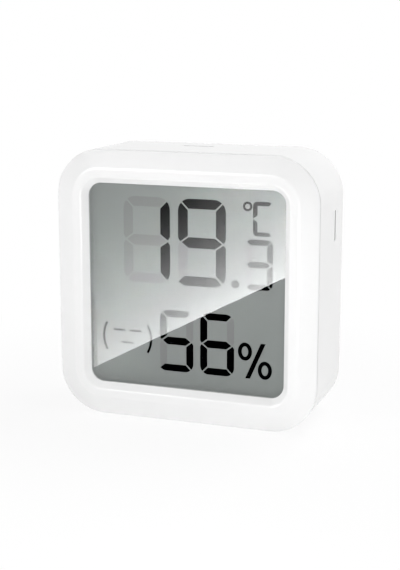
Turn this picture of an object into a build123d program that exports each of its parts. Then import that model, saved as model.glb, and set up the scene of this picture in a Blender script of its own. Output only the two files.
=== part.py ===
from build123d import *
import os
from math import cos, pi, sin, sqrt

# A square thermo-hygrometer for a shelf or a wall: a white two-part case, a reflective display behind a
# clear window, a sensing board, and two AAA cells behind a door in the back.
# Lengths are millimetres. X runs to the viewer's right, Y from the front to the back and Z up. The origin
# is on the standing surface under the middle of the case. A depth is measured back from the front land.

# Case, as wide as the cells, their contacts and its walls need, and square from the front
corner_radius = 9.7
rear_edge_radius = 1.5
shell_wall = 1.6
back_wall = 1.6
edge_break = 0.15
seam_depth = 1.6

# Front cover
rim_band = 0.4
bevel_width = 3.82
land_width = 1.82
inner_slope_width = 1.26
window_drop = 1.5
window_lip = 0.3
bevel_edge_round = 0.25
land_outer_round = 1.6
land_inner_round = 0.6
skirt_gap = 0.15
skirt_wall = 1.2
skirt_reach = 4.0
fence_wall = 0.8
fence_reach = 1.65
boss_radius = 1.6
boss_pilot_radius = 0.83
boss_offset = 0.75
boss_spread = 28.0
least_corner = 0.3

# Snaps that join the two halves
snap_depth = 4.1
snap_height = 0.45
snap_half_width = 0.6
snap_length = 7.0
snap_spacing = 22.0
snap_gap = 0.15
snap_root = 0.1

# Window and display, front to back
lens_tape_thickness = 0.15
lens_tape_width = 0.9
lens_thickness = 1.0
lens_margin = 1.4
lens_corner = 2.5
lens_fit = 0.1
display_gap = 0.1
polariser_thickness = 0.2
polariser_margin = 0.7
glass_thickness = 0.7
glass_margin = 1.3
ledge_height = 1.85
glass_fit = 0.15
reflector_thickness = 0.2
holder_gap = 0.05
holder_thickness = 1.2
holder_opening = 34.0
holder_corner = 1.0
holder_pin_radius = 0.75
holder_pin_height = 24.0
holder_pin_stand = 0.4
zebra_thickness = 1.35
zebra_side_inset = 2.9
zebra_gap = 0.15

# Main board
board_thickness = 1.0
board_gap = 0.5
board_hole_gap = 0.12
screw_head_radius = 1.5
screw_head_height = 0.85
screw_shank_radius = 0.8
screw_shank_length = 4.0
screw_cross_length = 1.7
screw_cross_width = 0.35
screw_cross_depth = 0.45

# Board parts, the larger ones placed from the board's edges
radio_side_inset = 7.55
radio_top_inset = 3.9
radio_width = 15.5
radio_height = 18.0
radio_board_thickness = 0.8
shield_width = 13.5
shield_height = 12.5
shield_stand = 1.8
shield_sheet = 0.25
shield_shift = 2.0
driver_x = 3.5
driver_rise = 12.5
driver_radius = 4.2
driver_stand = 1.3
sensor_side_inset = 6.9
sensor_top_inset = 7.4
sensor_size = 2.5
sensor_stand = 0.9
sensor_port_radius = 0.5
sensor_port_depth = 0.5
relief_slot_width = 0.9
relief_slot_length = 6.0
relief_slot_offset = 3.2
crystal_x = 6.5
crystal_rise = 5.5
crystal_width = 3.2
crystal_height = 1.5
crystal_stand = 0.9
capacitor_count = 5
capacitor_radio_lap = 0.65
capacitor_radio_gap = 0.6
capacitor_step = 2.1
capacitor_width = 0.8
capacitor_height = 1.6
capacitor_stand = 0.8

# Pairing button and the switch under it
button_x = 14.5
button_rise = 10.0
button_radius = 2.6
button_gap = 0.15
button_sink = 0.3
button_dish_depth = 0.25
button_flange_radius = 3.4
button_flange_thickness = 0.8
button_stem_radius = 1.5
button_travel = 0.25
button_well_radius = 4.3
button_well_depth = 0.35
guide_gap = 0.2
guide_wall = 0.9
guide_reach = 5.0
switch_size = 6.0
switch_stand = 3.5
switch_cover_sheet = 0.3
switch_plunger_radius = 1.7
switch_plunger_rise = 0.8
switch_plunger_flange = 0.45
switch_plunger_flange_thickness = 0.7
switch_well_gap = 0.1

# Cells
cell_radius = 5.25
cell_length = 44.5
cell_nub_radius = 1.9
cell_nub_height = 1.0
cell_shoulder_round = 0.5
sleeve_thickness = 0.1
sleeve_fit = 0.02
sleeve_end = 0.5
cell_gap = 0.3
cell_spacing = 0.5

# Battery tray
tray_floor = 0.95
tray_wall = 1.2
tray_end_wall = 1.75
tray_screw_gap = 0.1
hook_room = 2.85
ridge_height = 3.2
end_bay_length = 3.6
end_bay_gap = 0.7
contact_sheet = 0.3
contact_inset = 1.05
contact_door_gap = 1.3
contact_corner = 1.2
contact_tab_width = 2.0
contact_tab_stand = 0.7
tab_slot_gap = 0.15
dimple_height = 0.6
dimple_base_radius = 2.2
dimple_tip_radius = 1.3
lip_thickness = 0.7
lip_cover = 0.6
lip_gap = 0.1
spring_length = 3.6
spring_wire_radius = 0.3
spring_base_radius = 3.1
spring_tip_radius = 1.9
spring_turns = 3
spring_seat_gap = 0.04
points_per_arc = 6

# Battery door
door_thickness = 1.5
door_gap = 0.25
door_corner = 4.6
door_side_cover = 0.25
door_bottom_cover = 1.15
door_top_cover = 1.2
door_edge_break = 0.2
hook_width = 5.0
hook_spread = 26.0
hook_reach = 1.25
hook_thickness = 0.85
hook_root = 1.4
hook_gap = 0.15
hook_side_gap = 0.3
hook_swing_room = 1.4
latch_width = 10.0
latch_length = 6.5
latch_slot_width = 0.8
latch_bead = 0.18
latch_bead_half_width = 0.35
grip_count = 3
grip_width = 0.7
grip_step = 1.5
grip_depth = 0.35
grip_length = 7.0
scoop_radius = 12.0
scoop_depth = 0.9
door_rib_width = 1.4
door_rib_height = 2.2
door_rib_length = 34.0
door_cell_gap = 0.2

# Vents for the sensing chamber, one in the top and one in the right side
vent_depth = 13.75
vent_width = 0.8
top_vent_x = -1.45
top_vent_length = 6.8
side_vent_rise = 12.9
side_vent_length = 6.2

# Keyhole for a wall screw
keyhole_drop = 8.8
keyhole_entry_radius = 3.5
keyhole_neck_radius = 1.9
keyhole_climb = 6.0
keyhole_pocket_depth = 3.3
keyhole_pocket_gap = 0.4
keyhole_pocket_wall = 1.0

# One overrun serves every cut, and one reach every pick of edges by their place
overrun = 1.0
pick_reach = 0.01

# Places worked out from the sizes above
tray_half_length = (cell_length + spring_length + dimple_height) / 2 + contact_sheet
case_width = 2 * (tray_half_length + tray_end_wall + shell_wall)
case_height = case_width
mid_height = case_height / 2
rim_depth = seam_depth - rim_band
window_inset = bevel_width + land_width + inner_slope_width
window_width = case_width - 2 * window_inset
window_height = case_height - 2 * window_inset
skirt_inset = shell_wall + skirt_gap
skirt_end = seam_depth + skirt_reach
lens_seat = window_drop + window_lip
lens_front = lens_seat + lens_tape_thickness
cover_back = lens_front + lens_thickness
polariser_front = cover_back + display_gap
front_glass_front = polariser_front + polariser_thickness
rear_glass_front = front_glass_front + glass_thickness
reflector_front = rear_glass_front + glass_thickness
display_back = reflector_front + reflector_thickness
holder_front = display_back + holder_gap
board_front = holder_front + holder_thickness
board_back = board_front + board_thickness
glass_width = window_width + 2 * glass_margin
rear_glass_height = window_height + 2 * zebra_gap
front_glass_height = rear_glass_height + 2 * ledge_height
zebra_length = glass_width - 2 * zebra_side_inset
zebra_rise = rear_glass_height / 2 + zebra_gap + zebra_thickness / 2
boss_x = case_width / 2 - skirt_inset - skirt_wall - boss_offset
board_half = case_width / 2 - shell_wall - board_gap
radio_x = radio_side_inset + radio_width / 2 - board_half
radio_z = mid_height + board_half - radio_top_inset - radio_height / 2
capacitor_x = radio_x + radio_width / 2 - capacitor_radio_lap
sensor_x = board_half - sensor_side_inset
sensor_z = mid_height + board_half - sensor_top_inset
switch_top = board_back + switch_stand + switch_plunger_rise
cradle_radius = cell_radius + cell_gap
tray_front = board_back + screw_head_height + tray_screw_gap
bay_floor = tray_front + tray_floor + cell_gap
cell_depth = bay_floor + cell_radius
door_seat = cell_depth + cell_radius + door_cell_gap
case_depth = door_seat + door_thickness
back_inside = case_depth - back_wall
pocket_bottom = shell_wall + hook_room
lower_cell = pocket_bottom + cradle_radius
upper_cell = lower_cell + 2 * cell_radius + cell_spacing
cell_heights = (lower_cell, upper_cell)
pocket_top = upper_cell + cradle_radius
contact_half_height = cell_radius - contact_inset
contact_back = door_seat - contact_door_gap
door_bottom = pocket_bottom - door_bottom_cover
door_top = pocket_top + door_top_cover
door_height = door_top - door_bottom
door_width = 2 * (tray_half_length + door_side_cover)
door_middle = (door_top + door_bottom) / 2
hook_back = min(door_seat, back_inside) - hook_gap
hook_front = hook_back - hook_thickness
keyhole_neck_z = case_height - keyhole_drop
keyhole_entry_z = keyhole_neck_z - keyhole_climb


def y_of(depth):
    return depth - case_depth / 2


def front_plane(depth, x=0.0, z=mid_height):
    # faces the viewer, with its own x to the right and y up
    return Plane(origin=(x, y_of(depth), z), x_dir=(1, 0, 0), z_dir=(0, -1, 0))


def slab(width, height, radius, front, back, x=0.0, z=mid_height):
    # a plate across the case between two depths, its corners rounded if there is a radius
    outline = Rectangle(width, height) if radius == 0 else RectangleRounded(width, height, radius)
    return extrude(front_plane(back, x, z) * outline, amount=back - front)


def block(left, right, front, back, bottom, top):
    return slab(right - left, top - bottom, 0, front, back, (left + right) / 2, (bottom + top) / 2)


def rod(radius, front, back, x, z):
    # a cylinder that runs from front to back
    return extrude(front_plane(back, x, z) * Circle(radius), amount=back - front)


def bar(radius, left, right, depth, z):
    # a cylinder that runs across
    plane = Plane(origin=(left, y_of(depth), z), x_dir=(0, 1, 0), z_dir=(1, 0, 0))
    return extrude(plane * Circle(radius), amount=right - left)


def case_face(inset, depth):
    # the case's outline drawn in by an inset, with the corners on the same centres
    radius = max(corner_radius - inset, least_corner)
    return front_plane(depth) * RectangleRounded(case_width - 2 * inset, case_height - 2 * inset, radius)


def case_slab(inset, front, back):
    return extrude(case_face(inset, back), amount=back - front)


def case_taper(front_inset, front, back_inset, back):
    return loft([case_face(front_inset, front), case_face(back_inset, back)], ruled=True)


def edges_at_depth(shape, depth):
    y = y_of(depth)
    return shape.edges().filter_by_position(Axis.Y, y - pick_reach, y + pick_reach)


def snap_wedges(height, half_width, length):
    # two wedges on each of the four walls, standing on the skirt's outer face
    half_across = case_width / 2 - skirt_inset
    half_up = case_height / 2 - skirt_inset
    profile = make_face(Polyline(
        (-snap_root, -half_width), (0, -half_width), (height, 0), (0, half_width), (-snap_root, half_width),
        close=True,
    ))
    wedges = []
    for side in (-1, 1):
        for shift in (-snap_spacing / 2, snap_spacing / 2):
            places = (
                ((side * half_across, mid_height + shift), (side, 0, 0), (0, 0, 1)),
                ((shift, mid_height + side * half_up), (0, 0, side), (1, 0, 0)),
            )
            for (x, z), outward, along in places:
                plane = Plane(origin=(x, y_of(snap_depth), z), x_dir=outward, z_dir=along)
                wedges.append(extrude(plane * profile, amount=length / 2, both=True))
    return wedges


def boss_places():
    return [(side * boss_x, mid_height + rise * boss_spread / 2) for side in (-1, 1) for rise in (-1, 1)]


def make_front_cover():
    front = case_taper(bevel_width, 0, 0, rim_depth) + case_slab(0, rim_depth, seam_depth)
    front = fillet(edges_at_depth(front, 0), land_outer_round)
    front = fillet(edges_at_depth(front, rim_depth), bevel_edge_round)
    front = chamfer(edges_at_depth(front, seam_depth), edge_break)
    skirt = case_slab(skirt_inset, seam_depth, skirt_end)
    skirt -= case_slab(skirt_inset + skirt_wall, cover_back, skirt_end + overrun)
    cover = front + skirt
    cover -= case_taper(bevel_width + land_width, 0, window_inset, window_drop)
    cover = fillet(edges_at_depth(cover, 0), land_inner_round)
    cover -= case_slab(window_inset, window_drop, cover_back + overrun)
    pocket_size = 2 * (lens_margin + lens_fit)
    cover -= slab(window_width + pocket_size, window_height + pocket_size, lens_corner, lens_seat,
                  cover_back + overrun)
    fence_width = glass_width + 2 * glass_fit
    fence_height = front_glass_height + 2 * glass_fit
    fence_end = cover_back + fence_reach
    fence = slab(fence_width + 2 * fence_wall, fence_height + 2 * fence_wall, 0, cover_back, fence_end)
    fence &= case_slab(skirt_inset, cover_back, fence_end)
    for x, z in boss_places():
        fence += rod(boss_radius, cover_back, board_front, x, z)
    fence -= slab(fence_width, fence_height, 0, cover_back - overrun, board_front + overrun)
    cover += fence
    for wedge in snap_wedges(snap_height, snap_half_width, snap_length):
        cover += wedge
    for x, z in boss_places():
        cover -= rod(boss_pilot_radius, board_front - screw_shank_length, board_front + overrun, x, z)
    return cover


def make_window_lens():
    return slab(window_width + 2 * lens_margin, window_height + 2 * lens_margin, lens_corner - lens_fit,
                lens_front, cover_back)


def make_lens_tape():
    width = window_width + 2 * lens_margin - 2 * lens_fit
    height = window_height + 2 * lens_margin - 2 * lens_fit
    tape = slab(width, height, lens_corner - lens_fit, lens_seat, lens_front)
    hole = 2 * lens_tape_width
    return tape - slab(width - hole, height - hole, lens_corner - lens_tape_width, lens_seat - overrun,
                       lens_front + overrun)


def make_display_gasket():
    inner = 2 * (polariser_margin + display_gap)
    gasket = slab(glass_width, window_height + 2 * glass_margin, 0, cover_back, front_glass_front)
    return gasket - slab(window_width + inner, window_height + inner, 0, cover_back - overrun,
                         front_glass_front + overrun)


def make_polariser():
    return slab(window_width + 2 * polariser_margin, window_height + 2 * polariser_margin, 0,
                polariser_front, front_glass_front)


def make_display_glass():
    front = slab(glass_width, front_glass_height, 0, front_glass_front, rear_glass_front)
    rear = slab(glass_width, rear_glass_height, 0, rear_glass_front, reflector_front)
    return front, rear


def make_reflector():
    return slab(window_width + 2 * polariser_margin, rear_glass_height, 0, reflector_front, display_back)


def make_zebra(side):
    return slab(zebra_length, zebra_thickness, 0, rear_glass_front, board_front,
                z=mid_height + side * zebra_rise)


def holder_pin_places():
    x = (glass_width + holder_opening) / 4
    return [(side * x, mid_height + rise * holder_pin_height / 2) for side in (-1, 1) for rise in (-1, 1)]


def make_display_holder():
    holder = slab(glass_width, front_glass_height, 0, holder_front, board_front)
    holder -= slab(holder_opening, holder_opening, holder_corner, holder_front - overrun,
                   board_front + overrun)
    for side in (-1, 1):
        holder -= slab(zebra_length + 2 * zebra_gap, zebra_thickness + 2 * zebra_gap, 0,
                       holder_front - overrun, board_front + overrun, z=mid_height + side * zebra_rise)
    for x, z in holder_pin_places():
        holder += rod(holder_pin_radius, board_front, board_back + holder_pin_stand, x, z)
    return holder


def tab_places():
    # the two contacts that reach the board stand at the right-hand end
    return [(tray_half_length - contact_sheet / 2, z) for z in cell_heights]


def make_main_board():
    board = case_slab(shell_wall + board_gap, board_front, board_back)
    for x, z in boss_places():
        board -= rod(screw_shank_radius + board_hole_gap, board_front - overrun, board_back + overrun, x, z)
    for x, z in holder_pin_places():
        board -= rod(holder_pin_radius + board_hole_gap, board_front - overrun, board_back + overrun, x, z)
    for x, z in tab_places():
        board -= slab(contact_sheet + 2 * tab_slot_gap, contact_tab_width + 2 * tab_slot_gap, 0,
                      board_front - overrun, board_back + overrun, x, z)
    for across in (True, False):
        width, height = (relief_slot_length, relief_slot_width) if across else (
            relief_slot_width, relief_slot_length)
        x = sensor_x if across else sensor_x - relief_slot_offset
        z = sensor_z - relief_slot_offset if across else sensor_z
        board -= slab(width, height, 0, board_front - overrun, board_back + overrun, x, z)
    return board


def make_screws():
    screws = []
    for x, z in boss_places():
        head = rod(screw_head_radius, board_back, board_back + screw_head_height, x, z)
        head = fillet(edges_at_depth(head, board_back + screw_head_height), screw_head_height / 2)
        head += rod(screw_shank_radius, board_back - screw_shank_length, board_back, x, z)
        top = board_back + screw_head_height
        cross = (screw_cross_length, screw_cross_width)
        for width, height in (cross, cross[::-1]):
            head -= slab(width, height, 0, top - screw_cross_depth, top + overrun, x, z)
        screws.append(head)
    return Compound(children=screws)


def make_radio():
    top = board_back + radio_board_thickness
    carrier = slab(radio_width, radio_height, 0, board_back, top, radio_x, radio_z)
    shield_z = radio_z - shield_shift
    can = slab(shield_width, shield_height, 0, top, top + shield_stand, radio_x, shield_z)
    can = fillet(can.edges().filter_by(Axis.Y) + edges_at_depth(can, top + shield_stand), 2 * shield_sheet)
    hollow_width = shield_width - 2 * shield_sheet
    hollow_height = shield_height - 2 * shield_sheet
    can -= slab(hollow_width, hollow_height, 0, top - overrun, top + shield_stand - shield_sheet, radio_x,
                shield_z)
    return carrier, can


def make_display_driver():
    # a drop of black resin over the bare chip
    z = mid_height + driver_rise
    dome_radius = (driver_radius ** 2 + driver_stand ** 2) / (2 * driver_stand)
    centre = board_back + driver_stand - dome_radius
    dome = Pos(driver_x, y_of(centre), z) * Sphere(dome_radius)
    return dome & rod(driver_radius + overrun, board_back, board_back + driver_stand + overrun, driver_x, z)


def make_humidity_sensor():
    top = board_back + sensor_stand
    sensor = slab(sensor_size, sensor_size, 0, board_back, top, sensor_x, sensor_z)
    return sensor - rod(sensor_port_radius, top - sensor_port_depth, top + overrun, sensor_x, sensor_z)


def make_crystal():
    z = mid_height + crystal_rise
    top = board_back + crystal_stand
    can = slab(crystal_width, crystal_height, 0, board_back, top, crystal_x, z)
    return fillet(can.edges().filter_by(Axis.Y), crystal_height / 4)


def make_capacitors():
    z = radio_z - radio_height / 2 - capacitor_radio_gap - capacitor_height / 2
    top = board_back + capacitor_stand
    places = [capacitor_x + n * capacitor_step for n in range(capacitor_count)]
    return Compound(children=[
        slab(capacitor_width, capacitor_height, 0, board_back, top, x, z) for x in places
    ])


def make_switch():
    z = mid_height + button_rise
    top = board_back + switch_stand
    cover_front = top - switch_cover_sheet
    flange_radius = switch_plunger_radius + switch_plunger_flange
    flange_front = cover_front - switch_plunger_flange_thickness
    well_front = flange_front - button_travel - switch_well_gap
    body = slab(switch_size, switch_size, 0, board_back, cover_front, button_x, z)
    body -= rod(flange_radius + switch_well_gap, well_front, cover_front + overrun, button_x, z)
    cover = slab(switch_size, switch_size, 0, cover_front, top, button_x, z)
    cover -= rod(switch_plunger_radius + switch_well_gap, cover_front - overrun, top + overrun, button_x, z)
    plunger = rod(flange_radius, flange_front, cover_front, button_x, z)
    plunger += rod(switch_plunger_radius, cover_front, switch_top, button_x, z)
    return body, cover, plunger


def make_pairing_button():
    z = mid_height + button_rise
    face = case_depth - button_sink
    cap = rod(button_radius, back_inside, face, button_x, z)
    cap = fillet(edges_at_depth(cap, face), button_sink)
    dish_radius = (button_radius ** 2 + button_dish_depth ** 2) / (2 * button_dish_depth)
    cap -= Pos(button_x, y_of(face + dish_radius - button_dish_depth), z) * Sphere(dish_radius)
    cap += rod(button_flange_radius, back_inside - button_flange_thickness, back_inside, button_x, z)
    return cap + rod(button_stem_radius, switch_top, back_inside - button_flange_thickness, button_x, z)


def make_cell(z, positive_side):
    # positive_side is 1 where the nub is to the right
    end = positive_side * (tray_half_length - contact_sheet - dimple_height)
    shoulder = end - positive_side * cell_nub_height
    base = end - positive_side * cell_length
    can_radius = cell_radius - sleeve_thickness - sleeve_fit
    can = bar(can_radius, min(base, shoulder), max(base, shoulder), cell_depth, z)
    can = fillet(can.edges().filter_by(GeomType.CIRCLE), cell_shoulder_round)
    can += bar(cell_nub_radius, min(shoulder, end), max(shoulder, end), cell_depth, z)
    left = min(base, shoulder) + sleeve_end
    right = max(base, shoulder) - sleeve_end
    sleeve = bar(cell_radius, left, right, cell_depth, z)
    sleeve -= bar(cell_radius - sleeve_thickness, left - overrun, right + overrun, cell_depth, z)
    return can, sleeve


def contact_plate(side, bottom, top):
    outer = side * tray_half_length
    inner = side * (tray_half_length - contact_sheet)
    plate = block(min(outer, inner), max(outer, inner), bay_floor, contact_back, bottom, top)
    back_edges = plate.edges().filter_by(Axis.X).group_by(Axis.Y)[-1]
    return fillet(back_edges, contact_corner)


def contact_dimple(side, z):
    inner = side * (tray_half_length - contact_sheet)
    plane = Plane(origin=(inner, y_of(cell_depth), z), x_dir=(0, 1, 0), z_dir=(-side, 0, 0))
    tip = plane.offset(dimple_height)
    return loft([plane * Circle(dimple_base_radius), tip * Circle(dimple_tip_radius)], ruled=True)


def contact_tab(z):
    x = tray_half_length
    return block(x - contact_sheet, x, board_front - contact_tab_stand, bay_floor,
                 z - contact_tab_width / 2, z + contact_tab_width / 2)


def make_contact_bridge():
    bottom = cell_heights[0] - contact_half_height
    top = cell_heights[1] + contact_half_height
    return contact_plate(-1, bottom, top) + contact_dimple(-1, cell_heights[1])


def make_contact_positive():
    z = cell_heights[0]
    plate = contact_plate(1, z - contact_half_height, z + contact_half_height)
    return plate + contact_dimple(1, z) + contact_tab(z)


def make_contact_negative():
    z = cell_heights[1]
    return contact_plate(1, z - contact_half_height, z + contact_half_height) + contact_tab(z)


def spring_route(side, z):
    # a point and a direction for each quarter turn of a cone of wire, from the plate to the cell
    start = tray_half_length - contact_sheet - spring_wire_radius - spring_seat_gap
    reach = spring_length - 2 * (spring_wire_radius + spring_seat_gap)
    steps = round(4 * spring_turns)
    stations = []
    for n in range(steps + 1):
        share = n / steps
        angle = 2 * pi * spring_turns * share
        radius = spring_base_radius + (spring_tip_radius - spring_base_radius) * share
        shrink = (spring_tip_radius - spring_base_radius) / (2 * pi * spring_turns)
        point = Vector(side * (start - reach * share), y_of(cell_depth) + radius * cos(angle),
                       z + radius * sin(angle))
        direction = Vector(-side * reach / (2 * pi * spring_turns),
                           shrink * cos(angle) - radius * sin(angle),
                           shrink * sin(angle) + radius * cos(angle)).normalized()
        stations.append((point, direction))
    return stations


def biarc(start, start_direction, end, end_direction):
    # two arcs that leave and arrive in the given directions and share a direction where they meet
    chord = end - start
    both = start_direction + end_direction
    spread = 2 * (1 - start_direction.dot(end_direction))
    along = chord.dot(both)
    arm = (sqrt(along ** 2 + spread * chord.dot(chord)) - along) / spread
    first_corner = start + start_direction * arm
    last_corner = end - end_direction * arm
    joint = (first_corner + last_corner) * 0.5
    return [
        TangentArc(start, joint, tangent=start_direction),
        TangentArc(joint, end, tangent=last_corner - first_corner),
    ]


def make_spring(side, z):
    stations = spring_route(side, z)
    arcs = []
    for (start, start_direction), (end, end_direction) in zip(stations, stations[1:]):
        arcs += biarc(start, start_direction, end, end_direction)
    start, direction = stations[0]
    section = Plane(origin=start, z_dir=direction) * Circle(spring_wire_radius)
    print("least gap between the turns of a contact spring, mm:", round(least_gap(arcs), 3))
    return sweep(section, path=Wire(arcs))


def least_gap(arcs):
    # the least clear distance between points of the wire that lie half a turn or more apart
    points = [arc @ (n / points_per_arc) for arc in arcs for n in range(points_per_arc)]
    half_turn = len(points) // (2 * spring_turns)
    pairs = [(a, b) for n, a in enumerate(points) for b in points[n + half_turn:]]
    return min((b - a).length for a, b in pairs) - 2 * spring_wire_radius


def hook_places():
    return [-hook_spread / 2, hook_spread / 2]


def make_battery_door():
    width = door_width - 2 * door_gap
    height = door_height - 2 * door_gap
    door = slab(width, height, door_corner - door_gap, door_seat, case_depth, z=door_middle)
    door = chamfer(edges_at_depth(door, case_depth), door_edge_break)
    top = door_top - door_gap
    bottom = door_bottom + door_gap
    for side in (-1, 1):
        middle = side * (latch_width + latch_slot_width) / 2
        door -= block(middle - latch_slot_width / 2, middle + latch_slot_width / 2, door_seat - overrun,
                      case_depth + overrun, top - latch_length, top + overrun)
    bead = bar(latch_bead_half_width, -latch_width / 4, latch_width / 4, (door_seat + case_depth) / 2,
               top + latch_bead - latch_bead_half_width)
    door += bead
    for n in range(grip_count):
        z = top - latch_length / 2 + (n - (grip_count - 1) / 2) * grip_step
        door -= slab(grip_length, grip_width, 0, case_depth - grip_depth, case_depth + overrun, z=z)
    for x in hook_places():
        left, right = x - hook_width / 2, x + hook_width / 2
        door += block(left, right, hook_front, door_seat, bottom, bottom + hook_root)
        door += block(left, right, hook_front, hook_back, door_bottom - hook_reach, bottom + hook_root)
    ridge = (lower_cell + upper_cell) / 2
    door += block(-door_rib_length / 2, door_rib_length / 2, door_seat - door_rib_height, door_seat,
                  ridge - door_rib_width / 2, ridge + door_rib_width / 2)
    return door


def tray_pocket():
    length = tray_half_length
    pocket = None
    for z in cell_heights:
        channel = bar(cradle_radius, -length, length, cell_depth, z)
        channel += block(-length, length, cell_depth, door_seat, z - cradle_radius, z + cradle_radius)
        pocket = channel if pocket is None else pocket + channel
        half_height = contact_half_height + end_bay_gap
        for side in (-1, 1):
            far, near = side * length, side * (length - end_bay_length)
            pocket += block(min(far, near), max(far, near), bay_floor, door_seat, z - half_height,
                            z + half_height)
    ridge_top = bay_floor - cell_gap + ridge_height
    pocket += block(-length, length, ridge_top, door_seat, lower_cell, upper_cell)
    bridge_room = contact_sheet + lip_gap
    pocket += block(-length, bridge_room - length, bay_floor, door_seat, lower_cell, upper_cell)
    return pocket & case_slab(shell_wall, tray_front, door_seat)


def contact_lip(side, z, away):
    # a web on the end wall above or below a contact, and a lip that laps over the contact's edge
    wall = side * tray_half_length
    face = side * (tray_half_length - contact_sheet - lip_gap)
    tip = side * (tray_half_length - contact_sheet - lip_gap - lip_thickness)
    near = z + away * (contact_half_height + lip_gap)
    far = z + away * cradle_radius
    cover = z + away * (contact_half_height - lip_cover)
    back = contact_back - contact_corner
    web = block(min(wall, tip), max(wall, tip), bay_floor, back, min(near, far), max(near, far))
    return web + block(min(face, tip), max(face, tip), bay_floor, back, min(cover, far), max(cover, far))


def make_tray():
    tray = block(-case_width / 2, case_width / 2, tray_front, case_depth - rear_edge_radius,
                 pocket_bottom - tray_wall, pocket_top + tray_wall)
    tray &= case_slab(shell_wall / 2, tray_front, case_depth - rear_edge_radius)
    tray -= tray_pocket()
    for x, z in tab_places():
        tray -= block(x - contact_sheet / 2 - tab_slot_gap, tray_half_length, tray_front - overrun,
                      bay_floor + overrun, z - contact_tab_width / 2 - tab_slot_gap,
                      z + contact_tab_width / 2 + tab_slot_gap)
    lips = [(-1, lower_cell, -1), (-1, upper_cell, 1)]
    lips += [(1, z, away) for z in cell_heights for away in (-1, 1)]
    for side, z, away in lips:
        tray += contact_lip(side, z, away) & case_slab(shell_wall / 2, bay_floor, contact_back)
    return tray


def make_keyhole_pocket(inside):
    # the box behind the keyhole that takes the screw's head, or the space inside it
    wall = 0 if inside else keyhole_pocket_wall
    half_width = keyhole_entry_radius + keyhole_pocket_gap + wall
    bottom = keyhole_entry_z - half_width
    top = keyhole_neck_z + half_width
    front = back_inside - keyhole_pocket_depth - wall
    return slab(2 * half_width, top - bottom, half_width / 2, front, back_inside + back_wall / 2,
                z=(top + bottom) / 2)


def make_rear_housing():
    shell = case_slab(0, seam_depth, case_depth)
    shell = fillet(edges_at_depth(shell, case_depth), rear_edge_radius)
    shell = chamfer(edges_at_depth(shell, seam_depth), edge_break)
    shell -= case_slab(shell_wall, seam_depth - overrun, back_inside)
    for groove in snap_wedges(snap_height + snap_gap, snap_half_width + snap_gap, snap_length + 2 * snap_gap):
        shell -= groove
    housing = shell + make_tray()
    housing -= slab(door_width, door_height, door_corner, door_seat, case_depth + overrun, z=door_middle)
    housing -= tray_pocket_mouth()
    notch_front = hook_front - hook_swing_room
    notch_top = pocket_bottom + hook_root
    for x in hook_places():
        half = hook_width / 2 + hook_side_gap
        housing -= block(x - half, x + half, notch_front, back_inside, shell_wall, notch_top)
        housing -= block(x - half, x + half, notch_front, door_seat, door_bottom, notch_top)
    scoop_centre = case_depth + scoop_radius - scoop_depth
    housing -= Pos(0, y_of(scoop_centre), door_top) * Sphere(scoop_radius)
    housing += make_keyhole_pocket(False)
    housing -= make_keyhole_pocket(True) & case_slab(0, seam_depth, back_inside)
    housing -= rod(keyhole_entry_radius, back_inside - overrun, case_depth + overrun, 0, keyhole_entry_z)
    housing -= rod(keyhole_neck_radius, back_inside - overrun, case_depth + overrun, 0, keyhole_neck_z)
    housing -= block(-keyhole_neck_radius, keyhole_neck_radius, back_inside - overrun, case_depth + overrun,
                     keyhole_entry_z, keyhole_neck_z)
    z = mid_height + button_rise
    guide_radius = button_flange_radius + guide_gap
    guide_front = back_inside - guide_reach
    outside = case_depth + overrun
    housing += rod(guide_radius + guide_wall, guide_front, back_inside, button_x, z)
    housing -= rod(guide_radius, guide_front - overrun, back_inside, button_x, z)
    housing -= rod(button_radius + button_gap, back_inside - overrun, outside, button_x, z)
    housing -= rod(button_well_radius, case_depth - button_well_depth, outside, button_x, z)
    vent_front = vent_depth - vent_width / 2
    vent_back = vent_depth + vent_width / 2
    housing -= block(top_vent_x - top_vent_length / 2, top_vent_x + top_vent_length / 2, vent_front,
                     vent_back, case_height - shell_wall - overrun, case_height + overrun)
    side_vent_z = mid_height + side_vent_rise
    housing -= block(case_width / 2 - shell_wall - overrun, case_width / 2 + overrun, vent_front, vent_back,
                     side_vent_z - side_vent_length / 2, side_vent_z + side_vent_length / 2)
    return housing


def tray_pocket_mouth():
    # opens the back wall's inner skin over the pocket, up to the door's seat
    mouth = slab(door_width, door_height, door_corner, tray_front, door_seat, z=door_middle)
    return mouth & tray_pocket()


front_glass, rear_glass = make_display_glass()
radio_board, radio_shield = make_radio()
switch_body, switch_cover, switch_plunger = make_switch()
lower_can, lower_sleeve = make_cell(cell_heights[0], 1)
upper_can, upper_sleeve = make_cell(cell_heights[1], -1)

parts = {
    "front_cover": make_front_cover(),
    "window_lens": make_window_lens(),
    "lens_tape": make_lens_tape(),
    "display_gasket": make_display_gasket(),
    "display_polariser": make_polariser(),
    "display_front_glass": front_glass,
    "display_rear_glass": rear_glass,
    "display_reflector": make_reflector(),
    "zebra_strip_upper": make_zebra(1),
    "zebra_strip_lower": make_zebra(-1),
    "display_holder": make_display_holder(),
    "main_board": make_main_board(),
    "board_screws": make_screws(),
    "radio_board": radio_board,
    "radio_shield": radio_shield,
    "display_driver": make_display_driver(),
    "humidity_sensor": make_humidity_sensor(),
    "board_crystal": make_crystal(),
    "board_capacitors": make_capacitors(),
    "switch_body": switch_body,
    "switch_cover": switch_cover,
    "switch_plunger": switch_plunger,
    "pairing_button": make_pairing_button(),
    "rear_housing": make_rear_housing(),
    "battery_door": make_battery_door(),
    "lower_cell_can": lower_can,
    "lower_cell_sleeve": lower_sleeve,
    "upper_cell_can": upper_can,
    "upper_cell_sleeve": upper_sleeve,
    "contact_bridge": make_contact_bridge(),
    "contact_positive": make_contact_positive(),
    "contact_negative": make_contact_negative(),
    "bridge_spring": make_spring(-1, cell_heights[0]),
    "negative_spring": make_spring(1, cell_heights[1]),
}

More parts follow.
